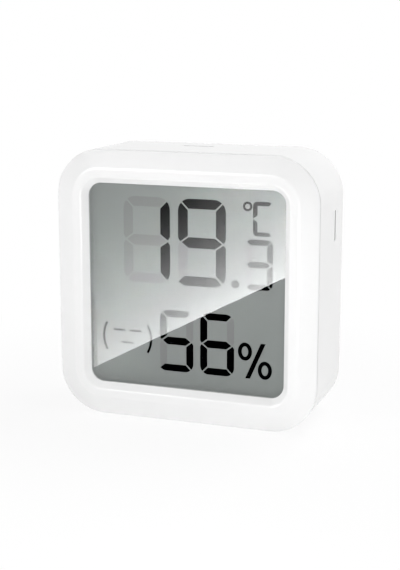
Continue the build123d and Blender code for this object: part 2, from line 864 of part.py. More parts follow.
os.makedirs("parts", exist_ok=True)
for name, shape in parts.items():
    export_step(shape, f"parts/{name}.step")
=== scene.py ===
import math

import bmesh
import bpy
from mathutils import Matrix, Vector


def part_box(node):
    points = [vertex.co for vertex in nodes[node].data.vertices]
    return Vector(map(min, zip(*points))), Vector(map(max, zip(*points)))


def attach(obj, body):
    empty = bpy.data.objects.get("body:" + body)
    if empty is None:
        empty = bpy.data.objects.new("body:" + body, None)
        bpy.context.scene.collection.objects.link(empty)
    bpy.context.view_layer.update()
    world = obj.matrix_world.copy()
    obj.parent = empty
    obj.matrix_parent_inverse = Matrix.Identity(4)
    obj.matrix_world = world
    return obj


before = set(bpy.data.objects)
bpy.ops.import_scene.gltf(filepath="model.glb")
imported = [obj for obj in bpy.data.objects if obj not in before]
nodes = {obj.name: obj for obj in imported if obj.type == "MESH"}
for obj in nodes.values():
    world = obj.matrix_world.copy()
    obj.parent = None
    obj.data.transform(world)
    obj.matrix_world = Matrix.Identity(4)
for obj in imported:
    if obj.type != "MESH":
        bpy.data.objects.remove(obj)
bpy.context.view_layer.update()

mm = 0.001


def boxInMm(name):
    # a CAD node's lowest and highest corners in millimetres
    return [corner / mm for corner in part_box(name)]


partingLine = boxInMm("rear_housing")[0].y      # where the front cover meets the rear housing
windowLow, windowHigh = boxInMm("window_lens")
windowHeight = (windowLow.z + windowHigh.z) / 2      # of its middle above the floor
print("frame loaded,", len(nodes), "nodes")


# Camera
cameraFit = {
    "azimuth": 19.797,       # degrees round from straight in front, towards the viewer's right
    "elevation": 11.935,
    "lookAt": (0.0, partingLine, windowHeight),      # the middle of the parting line, mm
    "distance": 252.03,      # mm
    "aside": 3.035,          # mm, because the object stands a little left of and below the middle
    "above": 0.935,
    "lens": 78.215,          # mm, on that width of sensor
    "sensor": 36.0,
    "clip": (0.01, 50.0),    # metres
}


def placeOfEye(fit):
    turned, raised = math.radians(fit["azimuth"]), math.radians(fit["elevation"])
    back = Vector((math.sin(turned) * math.cos(raised), -math.cos(turned) * math.cos(raised),
                   math.sin(raised)))
    right = Vector((math.cos(turned), math.sin(turned), 0.0))
    up = back.cross(right)
    place = Vector(fit["lookAt"]) + back * fit["distance"] + right * fit["aside"] + up * fit["above"]
    return place * mm


camera = bpy.data.objects.new("camera", bpy.data.cameras.new("camera"))
camera.data.lens = cameraFit["lens"]
camera.data.sensor_width = cameraFit["sensor"]
camera.data.clip_start, camera.data.clip_end = cameraFit["clip"]
camera.location = placeOfEye(cameraFit)
camera.rotation_euler = (math.radians(90 - cameraFit["elevation"]), 0.0,
                         math.radians(cameraFit["azimuth"]))
bpy.context.scene.collection.objects.link(camera)
bpy.context.scene.camera = camera
print("camera placed")


# Materials
def linear(hexColour):
    # Blender works in linear numbers, and people pick colours as sRGB hex
    channels = [int(hexColour[i:i + 2], 16) / 255 for i in (1, 3, 5)]
    return tuple(c / 12.92 if c <= 0.04045 else ((c + 0.055) / 1.055) ** 2.4 for c in channels) + (1.0,)


def addNode(material, kind, settings=None, values=None, links=None):
    # settings are the node's properties, values go on its own sockets, and links are
    # {socket: (node, output)}
    tree = material.node_tree
    node = tree.nodes.new(kind)
    for name, value in (settings or {}).items():
        setattr(node, name, value)
    for socket, value in (values or {}).items():
        node.inputs[socket].default_value = value
    for socket, (source, output) in (links or {}).items():
        tree.links.new(source.outputs[output], node.inputs[socket])
    return node


def emptyMaterial(name):
    material = bpy.data.materials.new(name)
    material.use_nodes = True
    material.node_tree.nodes.clear()
    return material


def grainSize(sizeMm):
    # a noise texture's scale for lumps of that size on Object coordinates, which are metres
    return 1000.0 / sizeMm


def surface(name, finish):
    # a plain solid finish: two close colours, a roughness that wanders and a fine bump, and on the
    #     case a painted shade in the groove at its parting line
    material = emptyMaterial(name)
    coordinates = addNode(material, "ShaderNodeTexCoord")
    stretched = addNode(material, "ShaderNodeMapping",
                        values={"Scale": finish.get("stretch", (1, 1, 1))},
                        links={"Vector": (coordinates, "Object")})
    patches = addNode(material, "ShaderNodeTexNoise",
                      values={"Scale": grainSize(finish["patchMm"]), "Detail": 3.0, "Roughness": 0.55},
                      links={"Vector": (stretched, "Vector")})
    # the noise seldom leaves these bounds
    spread = addNode(material, "ShaderNodeMapRange",
                     values={"From Min": 0.3, "From Max": 0.7}, links={"Value": (patches, "Fac")})
    colour = addNode(material, "ShaderNodeMix", settings={"data_type": "RGBA"},
                     values={"A": linear(finish["colour"]), "B": linear(finish["shade"])},
                     links={"Factor": (spread, "Result")})
    sheen = addNode(material, "ShaderNodeMapRange",
                    values={"To Min": finish["roughness"] - finish["roughnessSwing"],
                            "To Max": finish["roughness"] + finish["roughnessSwing"]},
                    links={"Value": (patches, "Fac")})
    grain = addNode(material, "ShaderNodeTexNoise",
                    values={"Scale": grainSize(finish["grainMm"]), "Detail": 2.0},
                    links={"Vector": (stretched, "Vector")})
    bump = addNode(material, "ShaderNodeBump",
                   values={"Strength": finish["bump"], "Distance": finish["grainDeepMm"] * mm},
                   links={"Height": (grain, "Fac")})
    # painted shade: the colour darkens in a band along the parting line, where the groove lies in shade
    groove = finish.get("groove")
    if groove:
        parts = addNode(material, "ShaderNodeSeparateXYZ", links={"Vector": (coordinates, "Object")})
        away = addNode(material, "ShaderNodeMath", settings={"operation": "SUBTRACT"},
                       values={1: groove["y"] * mm}, links={0: (parts, "Y")})
        near = addNode(material, "ShaderNodeMath", settings={"operation": "ABSOLUTE"},
                       links={0: (away, "Value")})
        paintedShadeShare = addNode(material, "ShaderNodeMapRange", settings={"interpolation_type": "SMOOTHSTEP"},
                       values={"From Min": groove["half"] * mm, "From Max": groove["full"] * mm},
                       links={"Value": (near, "Value")})
        colour = addNode(material, "ShaderNodeMix", settings={"data_type": "RGBA"},
                         values={"B": linear(groove["colour"])},
                         links={"A": (colour, "Result"), "Factor": (paintedShadeShare, "Result")})
    shader = addNode(material, "ShaderNodeBsdfPrincipled",
                     values={"Metallic": finish.get("metallic", 0.0),
                             "IOR": finish.get("ior", 1.5),
                             "Specular IOR Level": finish.get("specular", 0.5)},
                     links={"Base Color": (colour, "Result"), "Roughness": (sheen, "Result"),
                            "Normal": (bump, "Normal")})
    addNode(material, "ShaderNodeOutputMaterial", links={"Surface": (shader, "BSDF")})
    return material


# Injection-moulded ABS from a finely spark-eroded tool: an even satin white whose grain only
# shows as a soft edge to the shine. The real grain is about 0.05 mm, drawn at 0.2 mm to show. A
# painted shade darkens the parting line's groove, full within 0.09 mm and gone at 0.15 mm.
absMouldedWhite = surface("ABS moulded satin white", {
    "colour": "#F4F4F4", "shade": "#F1F1F1", "patchMm": 14.0,
    "roughness": 0.22, "roughnessSwing": 0.02,
    "grainMm": 0.2, "grainDeepMm": 0.01, "bump": 0.06, "ior": 1.53,
    # the painted shade along the parting line, and its darker colour
    "groove": {"y": partingLine, "half": 0.15, "full": 0.09, "colour": "#A9A9A8"}})

# The same ABS from a polished insert, so the button shines a little more than the case
absPolishedWhite = surface("ABS moulded polished white", {
    "colour": "#EEEEEE", "shade": "#EAEAEA", "patchMm": 3.0,
    "roughness": 0.26, "roughnessSwing": 0.03,
    "grainMm": 0.3, "grainDeepMm": 0.004, "bump": 0.1, "ior": 1.53})

# Acrylic foam tape, dark grey and dull, its foam cells about 0.1 mm
tapeFoam = surface("Acrylic foam tape", {
    "colour": "#3A3B3C", "shade": "#2F3031", "patchMm": 1.5, "roughness": 0.8, "roughnessSwing": 0.06,
    "grainMm": 0.1, "grainDeepMm": 0.03, "bump": 0.5})

# Open-cell polyurethane foam, black, its pores about 0.2 mm
gasketFoam = surface("Polyurethane foam black", {
    "colour": "#232324", "shade": "#17181A", "patchMm": 0.6, "roughness": 0.92, "roughnessSwing": 0.05,
    "grainMm": 0.2, "grainDeepMm": 0.08, "bump": 0.9})

# Front polariser over the display's reflector: a flat grey with a barely green tint, matt from its
# anti-glare grain of about 0.05 mm, drawn at 0.12 mm
displayFilm = surface("Polariser film grey", {
    "colour": "#8D8F8E", "shade": "#8B8D8C", "patchMm": 9.0, "roughness": 0.62, "roughnessSwing": 0.03,
    "grainMm": 0.12, "grainDeepMm": 0.004, "bump": 0.15, "specular": 0.15})

# Unlit liquid crystal: the same film seen through a switched-off segment, a shade darker and warmer
unlitCrystal = surface("Liquid crystal unlit", {
    "colour": "#848384", "shade": "#838283", "patchMm": 6.0, "roughness": 0.6, "roughnessSwing": 0.03,
    "grainMm": 0.12, "grainDeepMm": 0.004, "bump": 0.15, "specular": 0.15})

# Lit liquid crystal between crossed polarisers: near black, with a trace of blue
litCrystal = surface("Liquid crystal lit", {
    "colour": "#020203", "shade": "#010101", "patchMm": 4.0, "roughness": 0.55, "roughnessSwing": 0.04,
    "grainMm": 0.12, "grainDeepMm": 0.004, "bump": 0.15, "specular": 0.0})

# Aluminised polyester film, brushed along the display
reflectorFilm = surface("Aluminised polyester film", {
    "colour": "#C9CBCC", "shade": "#BFC1C3", "patchMm": 4.0, "stretch": (0.1, 1.0, 1.0),
    "roughness": 0.3, "roughnessSwing": 0.05, "grainMm": 0.15, "grainDeepMm": 0.01, "bump": 0.3,
    "metallic": 1.0})

# Glass-filled polycarbonate, matt black, from an eroded tool
holderPlastic = surface("Polycarbonate moulded black", {
    "colour": "#1D1E20", "shade": "#242527", "patchMm": 5.0, "roughness": 0.5, "roughnessSwing": 0.05,
    "grainMm": 0.15, "grainDeepMm": 0.01, "bump": 0.35, "ior": 1.58})

# Zinc plate on steel: bright, faintly blue, with a fine drawn texture
screwZinc = surface("Zinc-plated steel", {
    "colour": "#C6CBD0", "shade": "#B4BAC2", "patchMm": 0.6, "roughness": 0.28, "roughnessSwing": 0.06,
    "grainMm": 0.08, "grainDeepMm": 0.01, "bump": 0.4, "metallic": 1.0})

# Tin plate, pressed: softly clouded silver with rolling marks along the sheet
shieldTin = surface("Tin-plated steel pressed", {
    "colour": "#C4C3BE", "shade": "#B2B2AE", "patchMm": 2.2, "stretch": (0.25, 1.0, 1.0),
    "roughness": 0.36, "roughnessSwing": 0.08, "grainMm": 0.12, "grainDeepMm": 0.012, "bump": 0.35,
    "metallic": 1.0})

# Nickel plate on spring steel: warmer than tin, brighter where it is drawn through the dies
contactNickel = surface("Nickel-plated spring steel", {
    "colour": "#CFC8BC", "shade": "#BBB4A8", "patchMm": 1.4, "roughness": 0.24, "roughnessSwing": 0.07,
    "grainMm": 0.1, "grainDeepMm": 0.008, "bump": 0.35, "metallic": 1.0})

# Stainless cover of the switch, rolled and matt
switchSteel = surface("Stainless steel rolled", {
    "colour": "#BDBFC0", "shade": "#ACAEB0", "patchMm": 1.0, "stretch": (0.2, 1.0, 1.0),
    "roughness": 0.32, "roughnessSwing": 0.05, "grainMm": 0.07, "grainDeepMm": 0.008, "bump": 0.35,
    "metallic": 1.0})

# Glass-filled nylon, dull black, with the fibres just under its skin
switchNylon = surface("Nylon moulded black", {
    "colour": "#202022", "shade": "#2B2B2D", "patchMm": 0.7, "roughness": 0.58, "roughnessSwing": 0.06,
    "grainMm": 0.12, "grainDeepMm": 0.012, "bump": 0.4})

# Acetal plunger, a soft-sheened brown
plungerAcetal = surface("Acetal moulded brown", {
    "colour": "#5A4331", "shade": "#503B2B", "patchMm": 1.2, "roughness": 0.38, "roughnessSwing": 0.05,
    "grainMm": 0.15, "grainDeepMm": 0.008, "bump": 0.25, "ior": 1.48})

# Epoxy drop over the driver, flowed and glossy black
driverEpoxy = surface("Epoxy resin black", {
    "colour": "#141414", "shade": "#1C1B1B", "patchMm": 2.0, "roughness": 0.22, "roughnessSwing": 0.06,
    "grainMm": 0.6, "grainDeepMm": 0.03, "bump": 0.25, "ior": 1.55})

# Moulded epoxy of the humidity sensor, matt, with the mould's fine grit
sensorEpoxy = surface("Epoxy moulded grey", {
    "colour": "#3B3C3E", "shade": "#323335", "patchMm": 0.5, "roughness": 0.66, "roughnessSwing": 0.05,
    "grainMm": 0.08, "grainDeepMm": 0.012, "bump": 0.5})

# Drawn nickel-silver can of the crystal
crystalCan = surface("Nickel silver drawn", {
    "colour": "#C8C4B4", "shade": "#B9B5A6", "patchMm": 0.8, "stretch": (0.3, 1.0, 1.0),
    "roughness": 0.27, "roughnessSwing": 0.05, "grainMm": 0.08, "grainDeepMm": 0.006, "bump": 0.3,
    "metallic": 1.0})

# Nickel-plated steel of the cells' cans, tumbled bright
cellSteel = surface("Nickel-plated steel drawn", {
    "colour": "#CDCBC6", "shade": "#BFBCB6", "patchMm": 2.5, "roughness": 0.22, "roughnessSwing": 0.05,
    "grainMm": 0.12, "grainDeepMm": 0.005, "bump": 0.3, "metallic": 1.0})

# Soda-lime glass of the display, its edge a dull green from the scribe
displayGlass = surface("Soda-lime glass scribed", {
    "colour": "#9FB3AB", "shade": "#93A79F", "patchMm": 6.0, "roughness": 0.12, "roughnessSwing": 0.04,
    "grainMm": 0.5, "grainDeepMm": 0.004, "bump": 0.15, "ior": 1.52})


def clearWindow(name, finish):
    # Cast acrylic, diamond-cut and polished: each face mirrors a little, more at a slant, and light
    # goes straight through to the display
    material = emptyMaterial(name)
    coordinates = addNode(material, "ShaderNodeTexCoord")
    patches = addNode(material, "ShaderNodeTexNoise",
                      values={"Scale": grainSize(finish["patchMm"])},
                      links={"Vector": (coordinates, "Object")})
    tint = addNode(material, "ShaderNodeMix", settings={"data_type": "RGBA"},
                   values={"A": linear(finish["colour"]), "B": linear(finish["shade"])},
                   links={"Factor": (patches, "Fac")})
    through = addNode(material, "ShaderNodeBsdfTransparent", links={"Color": (tint, "Result")})
    mirror = addNode(material, "ShaderNodeBsdfGlossy",
                     values={"Color": (1.0, 1.0, 1.0, 1.0), "Roughness": 0.0})
    # a power curve, because a Fresnel node would make the inner face a full mirror at a slant
    slant = addNode(material, "ShaderNodeLayerWeight", values={"Blend": 0.5})
    steep = addNode(material, "ShaderNodeMath", settings={"operation": "POWER"}, values={1: 5.0},
                    links={0: (slant, "Facing")})
    reflected = addNode(material, "ShaderNodeMapRange",
                        values={"To Min": finish["mirrored"], "To Max": 1.0},
                        links={"Value": (steep, "Value")})
    mixed = addNode(material, "ShaderNodeMixShader",
                    links={0: (reflected, "Result"), 1: (through, "BSDF"), 2: (mirror, "BSDF")})
    addNode(material, "ShaderNodeOutputMaterial", links={"Surface": (mixed, "Shader")})
    return material


acrylicClear = clearWindow("Acrylic cast clear", {
    "mirrored": 0.039, "colour": "#FDFEFE", "shade": "#FBFDFC", "patchMm": 20.0})

waveBand = math.tau / 20      # how far apart a wave texture's bands lie at a scale of 1


def stripedRubber(name, finish):
    # Zebra strip: carbon-filled and clear silicone in thin layers along its length
    material = emptyMaterial(name)
    coordinates = addNode(material, "ShaderNodeTexCoord")
    stripes = addNode(material, "ShaderNodeTexWave",
                      settings={"wave_type": "BANDS", "bands_direction": "X"},
                      values={"Scale": grainSize(finish["pitchMm"]) * waveBand, "Distortion": 0.2},
                      links={"Vector": (coordinates, "Object")})
    colour = addNode(material, "ShaderNodeMix", settings={"data_type": "RGBA"},
                     values={"A": linear(finish["colour"]), "B": linear(finish["shade"])},
                     links={"Factor": (stripes, "Fac")})
    bump = addNode(material, "ShaderNodeBump",
                   values={"Strength": 0.3, "Distance": finish["grainDeepMm"] * mm},
                   links={"Height": (stripes, "Fac")})
    shader = addNode(material, "ShaderNodeBsdfPrincipled", values={"Roughness": 0.6, "IOR": 1.41},
                     links={"Base Color": (colour, "Result"), "Normal": (bump, "Normal")})
    addNode(material, "ShaderNodeOutputMaterial", links={"Surface": (shader, "BSDF")})
    return material


# Real layers are 0.05 mm, drawn at 1.57 mm so that they show
zebraSilicone = stripedRubber("Silicone layered", {
    "pitchMm": 1.57, "grainDeepMm": 0.02, "colour": "#1B1B1D", "shade": "#C9A9A0"})


def circuitBoard(name, finish):
    # Solder mask over copper on woven glass: tracks stand a little proud and show paler through it
    material = emptyMaterial(name)
    coordinates = addNode(material, "ShaderNodeTexCoord")
    cells = addNode(material, "ShaderNodeTexVoronoi",
                    settings={"distance": "CHEBYCHEV", "feature": "F1"},
                    values={"Scale": grainSize(finish["trackMm"]), "Randomness": 0.75},
                    links={"Vector": (coordinates, "Object")})
    # tracks run where the cells meet
    tracks = addNode(material, "ShaderNodeMapRange", values={"From Min": 0.42, "From Max": 0.46},
                     links={"Value": (cells, "Distance")})
    weave = addNode(material, "ShaderNodeTexNoise",
                    values={"Scale": grainSize(finish["weaveMm"]), "Detail": 2.0},
                    links={"Vector": (coordinates, "Object")})
    base = addNode(material, "ShaderNodeMix", settings={"data_type": "RGBA"},
                   values={"A": linear(finish["colour"]), "B": linear(finish["shade"])},
                   links={"Factor": (weave, "Fac")})
    colour = addNode(material, "ShaderNodeMix", settings={"data_type": "RGBA"},
                     values={"B": linear(finish["track"])},
                     links={"A": (base, "Result"), "Factor": (tracks, "Result")})
    bump = addNode(material, "ShaderNodeBump",
                   values={"Strength": 0.5, "Distance": finish["copperMm"] * mm},
                   links={"Height": (tracks, "Result")})
    shader = addNode(material, "ShaderNodeBsdfPrincipled", values={"Roughness": 0.34, "IOR": 1.52},
                     links={"Base Color": (colour, "Result"), "Normal": (bump, "Normal")})
    addNode(material, "ShaderNodeOutputMaterial", links={"Surface": (shader, "BSDF")})
    return material


boardGreen = circuitBoard("Solder mask green", {
    "trackMm": 1.6, "weaveMm": 0.5, "copperMm": 0.035,
    "colour": "#14502F", "shade": "#104527", "track": "#1F6B3F"})
boardBlack = circuitBoard("Solder mask black", {
    "trackMm": 1.2, "weaveMm": 0.5, "copperMm": 0.035,
    "colour": "#16181B", "shade": "#111316", "track": "#26292D"})


def bandedPiece(name, finish):
    # One piece in two colours, divided along an axis: a cell's sleeve or a chip's ends. The band starts
    # so many mm from the middle, on the side that towards gives, or on both where that is 0.
    material = emptyMaterial(name)
    coordinates = addNode(material, "ShaderNodeTexCoord")
    parts = addNode(material, "ShaderNodeSeparateXYZ", links={"Vector": (coordinates, "Object")})
    away = addNode(material, "ShaderNodeMath", settings={"operation": "SUBTRACT"},
                   values={1: finish["middle"] * mm}, links={0: (parts, finish["axis"])})
    side = addNode(material, "ShaderNodeMath",
                   settings={"operation": "MULTIPLY" if finish["towards"] else "ABSOLUTE"},
                   values={1: finish["towards"]}, links={0: (away, "Value")})
    band = addNode(material, "ShaderNodeMath", settings={"operation": "GREATER_THAN"},
                   values={1: finish["from"] * mm}, links={0: (side, "Value")})
    patches = addNode(material, "ShaderNodeTexNoise",
                      values={"Scale": grainSize(finish["patchMm"])},
                      links={"Vector": (coordinates, "Object")})
    body = addNode(material, "ShaderNodeMix", settings={"data_type": "RGBA"},
                   values={"A": linear(finish["colour"]), "B": linear(finish["shade"])},
                   links={"Factor": (patches, "Fac")})
    colour = addNode(material, "ShaderNodeMix", settings={"data_type": "RGBA"},
                     values={"B": linear(finish["band"])},
                     links={"A": (body, "Result"), "Factor": (band, "Value")})
    bump = addNode(material, "ShaderNodeBump",
                   values={"Strength": 0.2, "Distance": finish["grainDeepMm"] * mm},
                   links={"Height": (patches, "Fac")})
    shader = addNode(material, "ShaderNodeBsdfPrincipled",
                     values={"Roughness": finish["roughness"], "IOR": 1.5},
                     links={"Base Color": (colour, "Result"), "Normal": (bump, "Normal")})
    addNode(material, "ShaderNodeOutputMaterial", links={"Surface": (shader, "BSDF")})
    return material


# Shrunk PVC sleeve: plain blue-grey with a pale band at the positive end, and nothing printed on it
sleeveFinish = {
    "axis": "X", "middle": 0.0, "from": 14.5, "patchMm": 3.0, "grainDeepMm": 0.01, "roughness": 0.28,
    "colour": "#3D5566", "shade": "#384F5F", "band": "#C8CCCE"}
lowerSleeve = bandedPiece("PVC shrink sleeve lower", dict(sleeveFinish, towards=1.0))
upperSleeve = bandedPiece("PVC shrink sleeve upper", dict(sleeveFinish, towards=-1.0))

# Multilayer ceramic chips: tan bodies with matt tin ends
chipsLow, chipsHigh = boxInMm("board_capacitors")
chipCeramic = bandedPiece("Ceramic chip tinned", {
    "axis": "Z", "middle": (chipsLow.z + chipsHigh.z) / 2, "from": 0.5, "towards": 0.0,
    "patchMm": 0.5, "grainDeepMm": 0.01, "roughness": 0.45,
    "colour": "#A98A63", "shade": "#9C7D58", "band": "#B9BBBC"})

finishes = {
    "front_cover": absMouldedWhite, "rear_housing": absMouldedWhite, "battery_door": absMouldedWhite,
    "pairing_button": absPolishedWhite, "window_lens": acrylicClear, "lens_tape": tapeFoam,
    "display_gasket": gasketFoam, "display_polariser": displayFilm,
    "display_front_glass": displayGlass, "display_rear_glass": displayGlass,
    "display_reflector": reflectorFilm, "zebra_strip_upper": zebraSilicone,
    "zebra_strip_lower": zebraSilicone, "display_holder": holderPlastic, "main_board": boardGreen,
    "board_screws": screwZinc, "radio_board": boardBlack, "radio_shield": shieldTin,
    "display_driver": driverEpoxy, "humidity_sensor": sensorEpoxy, "board_crystal": crystalCan,
    "board_capacitors": chipCeramic, "switch_body": switchNylon, "switch_cover": switchSteel,
    "switch_plunger": plungerAcetal, "lower_cell_can": cellSteel, "upper_cell_can": cellSteel,
    "lower_cell_sleeve": lowerSleeve, "upper_cell_sleeve": upperSleeve,
    "contact_bridge": contactNickel, "contact_positive": contactNickel,
    "contact_negative": contactNickel, "bridge_spring": contactNickel, "negative_spring": contactNickel,
}
for name, material in finishes.items():
    for slot in nodes[name].material_slots:
        slot.material = material
print("finishes on", len(finishes), "nodes")


# What the display shows, drawn in mm from the window's middle
display = {
    "front": boxInMm("display_polariser")[0].y,      # the polariser's front face
    "ink": 0.02,             # how far a segment stands off it
    "unlitInk": 0.012,
}
# How far down its bar a bare end's tip lies, and the slopes above and below it in degrees
bareEnd = {"tipShare": 0.38, "outer": 50, "inner": 60}


def flatShape(width, height, x, z):
    # a rectangle on the display, to be rounded and cut
    shape = bmesh.new()
    bmesh.ops.create_grid(shape, x_segments=1, y_segments=1, size=0.5)
    bmesh.ops.transform(shape, verts=shape.verts, matrix=Matrix.Translation((x, z, 0.0))
                        @ Matrix.Diagonal((width, height, 1.0, 1.0)))
    return shape


def roundCorners(shape, radius, onlyRight=False):
    # all four of a rectangle's corners, or the two on its right
    middle = sum(v.co.x for v in shape.verts) / len(shape.verts)
    corners = [v for v in shape.verts if v.co.x > middle or not onlyRight]
    bmesh.ops.bevel(shape, geom=corners, offset=radius, segments=6, profile=0.5, affect="VERTICES",
                    material=-1)


def cutAway(shape, x, z, towards):
    # takes off what lies past a line through that point, on the side that towards names in degrees
    angle = math.radians(towards)
    bmesh.ops.bisect_plane(shape, geom=shape.verts[:] + shape.edges[:] + shape.faces[:], dist=1e-7,
                           plane_co=(x, z, 0.0), plane_no=(math.cos(angle), math.sin(angle), 0.0),
                           clear_outer=True)


def addShape(collected, shape):
    # moves a finished shape into those collected
    carrier = bpy.data.meshes.new("shape")
    shape.to_mesh(carrier)
    shape.free()
    collected.from_mesh(carrier)
    bpy.data.meshes.remove(carrier)


def addSegment(collected, digit, segment, bare=False):
    # a is the top bar, b and c the right side, d the foot, e and f the left side, g the middle bar;
    # a bar whose left end is bare, with no side lit beside it, comes to a tip there
    left, foot = digit["left"], digit["foot"]
    right, top = left + digit["width"], foot + digit["height"]
    across, middle = (left + right) / 2, (foot + top) / 2
    lean, tip = digit["lean"], digit["tip"]
    rise = digit["gap"] / 2 / math.cos(math.radians(lean))
    run = digit["gap"] / 2 / math.sin(math.radians(lean))
    corner = digit["cornerGap"] / math.sqrt(2)
    if segment == "g":
        shape = flatShape(digit["width"], digit["middleBar"], across, middle)
        for x, way in ((left if bare else left + tip + run, 180), (right - tip - run, 0)):
            cutAway(shape, x, middle, way + 90 - lean)
            cutAway(shape, x, middle, way - 90 + lean)
        addShape(collected, shape)
        return
    shape = flatShape(digit["width"], digit["height"], across, middle)
    roundCorners(shape, digit["round"], onlyRight=bare)
    if segment in "ad":
        up, edge = (1, top) if segment == "a" else (-1, foot)
        cutAway(shape, left, edge - up * digit["bar"], -90 * up)
        if bare:
            for slope in (bareEnd["outer"], -bareEnd["inner"]):
                cutAway(shape, left, edge - up * bareEnd["tipShare"] * digit["bar"], 180 + up * slope)
        else:
            cutAway(shape, left + corner, edge, 180 + 45 * up)
        cutAway(shape, right - corner, edge, -45 * up)
    else:
        up, edge = (1, top) if segment in "bf" else (-1, foot)
        out, side = (1, right) if segment in "bc" else (-1, left)
        cutAway(shape, side - out * digit["stroke"], middle, 90 + 90 * out)
        cutAway(shape, side, edge - up * corner, up * (90 + 45 * out))
        cutAway(shape, side - out * tip, middle + up * rise, -up * (90 + lean * out))
        cutAway(shape, side, middle + up * digit["shoulder"],
                -up * (90 - (90 - digit["shoulderLean"]) * out))
    addShape(collected, shape)


def standOff(collected, height):
    # gives flat shapes a body and sets them on the display, upright
    bmesh.ops.remove_doubles(collected, verts=collected.verts, dist=1e-6)
    raised = bmesh.ops.extrude_face_region(collected, geom=collected.faces[:])
    bmesh.ops.translate(collected, vec=(0.0, 0.0, height),
                        verts=[v for v in raised["geom"] if isinstance(v, bmesh.types.BMVert)])
    bmesh.ops.recalc_face_normals(collected, faces=collected.faces[:])
    upright = (Matrix.Translation((0.0, display["front"] * mm, windowHeight * mm))
               @ Matrix.Rotation(math.radians(90), 4, "X") @ Matrix.Scale(mm, 4))
    bmesh.ops.transform(collected, verts=collected.verts, matrix=upright)


def makeObject(name, shape, material):
    # an object of that material from a finished bmesh
    mesh = bpy.data.meshes.new(name)
    shape.to_mesh(mesh)
    shape.free()
    mesh.materials.append(material)
    made = bpy.data.objects.new(name, mesh)
    bpy.context.scene.collection.objects.link(made)
    return made


# Foot is a digit's lowest line. Stroke, bar and middleBar are the widths of its sides, of its top and
# foot, and of its middle bar. Gap and cornerGap part the segments. Lean, in degrees, and tip shape the
# ends that meet at the middle bar, and shoulder and shoulderLean cut the sides' outer corners there.
bigDigit = {"foot": 0.52, "width": 10.24, "height": 17.94, "stroke": 2.1, "bar": 2.02,
            "middleBar": 2.2, "gap": 0.32, "cornerGap": 0.32, "round": 2.55, "lean": 36, "tip": 0.5,
            "shoulder": 0.9, "shoulderLean": 32}
midDigit = {"foot": -17.9, "width": 7.36, "height": 13.02, "stroke": 1.55, "bar": 1.47,
            "middleBar": 1.62, "gap": 0.29, "cornerGap": 0.29, "round": 1.85, "lean": 38, "tip": 0.4,
            "shoulder": 0.65, "shoulderLean": 32}
smallDigit = {"foot": 0.66, "width": 5.5, "height": 10.24, "stroke": 1.24, "bar": 1.16,
              "middleBar": 1.26, "gap": 0.25, "cornerGap": 0.25, "round": 1.3, "lean": 38, "tip": 0.3,
              "shoulder": 0.45, "shoulderLean": 32}
letter = {"foot": 11.6, "width": 4.05, "height": 6.95, "stroke": 0.92, "bar": 0.84,
          "middleBar": 0.9, "gap": 0.3, "cornerGap": 0.0, "round": 0.95, "lean": 36, "tip": 0.2,
          "shoulder": 0.3, "shoulderLean": 32}
# Each digit with its left edge and its lit segments
reading = [
    (bigDigit, -14.04, "bc"), (bigDigit, -2.03, "abcdfg"), (smallDigit, 12.6, "abcdg"),
    (letter, 13.88, "adef"), (midDigit, -6.12, "acdfg"), (midDigit, 2.74, "acdefg"),
]

besideOf = {"a": "f", "d": "e", "g": "ef"}      # the sides that a bar's left end may meet
lit, unlit = bmesh.new(), bmesh.new()
for digit, left, shown in reading:
    placed = dict(digit, left=left)
    for segment in "abcdefg":
        if segment in shown:
            beside = besideOf.get(segment, "")
            addSegment(lit, placed, segment, bare=bool(beside) and not set(beside) & set(shown))
        elif digit is not letter:
            addSegment(unlit, placed, segment)
print("digits drawn")

# Between the brackets three dashes make the comfort sign's plain face, two for its eyes and one below
signs = {
    "dot": {"x": 10.28, "z": 1.55, "radius": 0.88},
    "degree": {"x": 12.75, "z": 17.5, "radius": 0.97, "line": 0.44},
    "percentRings": {"places": ((12.42, -12.28), (16.68, -15.92)), "halfWidth": 1.5, "halfHeight": 1.9,
                     "line": 0.8},
    "percentSlash": {"x": 14.65, "z": -14.12, "width": 1.02, "height": 7.5, "shear": 0.434},
    "brackets": {"middles": (-18.86, -8.14), "z": -11.5, "radius": 5.75, "halfAngle": 31, "line": 0.5},
    "highDashes": {"places": ((-15.32, -9.98), (-11.64, -9.98)), "width": 2.66, "height": 0.42},
    "lowDash": {"places": ((-13.4, -12.62),), "width": 2.7, "height": 0.42},
}


def addDisc(collected, x, z, halfWidth, halfHeight, line=0.0):
    # a disc, or with a line width a ring
    shape = bmesh.new()
    bmesh.ops.create_circle(shape, cap_ends=True, segments=40, radius=1.0)
    bmesh.ops.transform(shape, verts=shape.verts, matrix=Matrix.Translation((x, z, 0.0))
                        @ Matrix.Diagonal((halfWidth, halfHeight, 1.0, 1.0)))
    if line:
        middle = shape.faces[:]
        bmesh.ops.inset_region(shape, faces=middle, thickness=line, use_even_offset=True,
                               use_boundary=True)
        bmesh.ops.delete(shape, geom=middle, context="FACES")
    addShape(collected, shape)


dot, degree, rings = signs["dot"], signs["degree"], signs["percentRings"]
addDisc(lit, dot["x"], dot["z"], dot["radius"], dot["radius"])
addDisc(lit, degree["x"], degree["z"], degree["radius"], degree["radius"], degree["line"])
for x, z in rings["places"]:
    addDisc(lit, x, z, rings["halfWidth"], rings["halfHeight"], rings["line"])

slash = signs["percentSlash"]
stroke = flatShape(slash["width"], slash["height"], 0.0, 0.0)
bmesh.ops.transform(stroke, verts=stroke.verts, matrix=Matrix.Translation((slash["x"], slash["z"], 0.0))
                    @ Matrix.Shear("XZ", 4, (slash["shear"], 0.0)))
addShape(lit, stroke)

for dashes in (signs["highDashes"], signs["lowDash"]):
    for x, z in dashes["places"]:
        addShape(lit, flatShape(dashes["width"], dashes["height"], x, z))

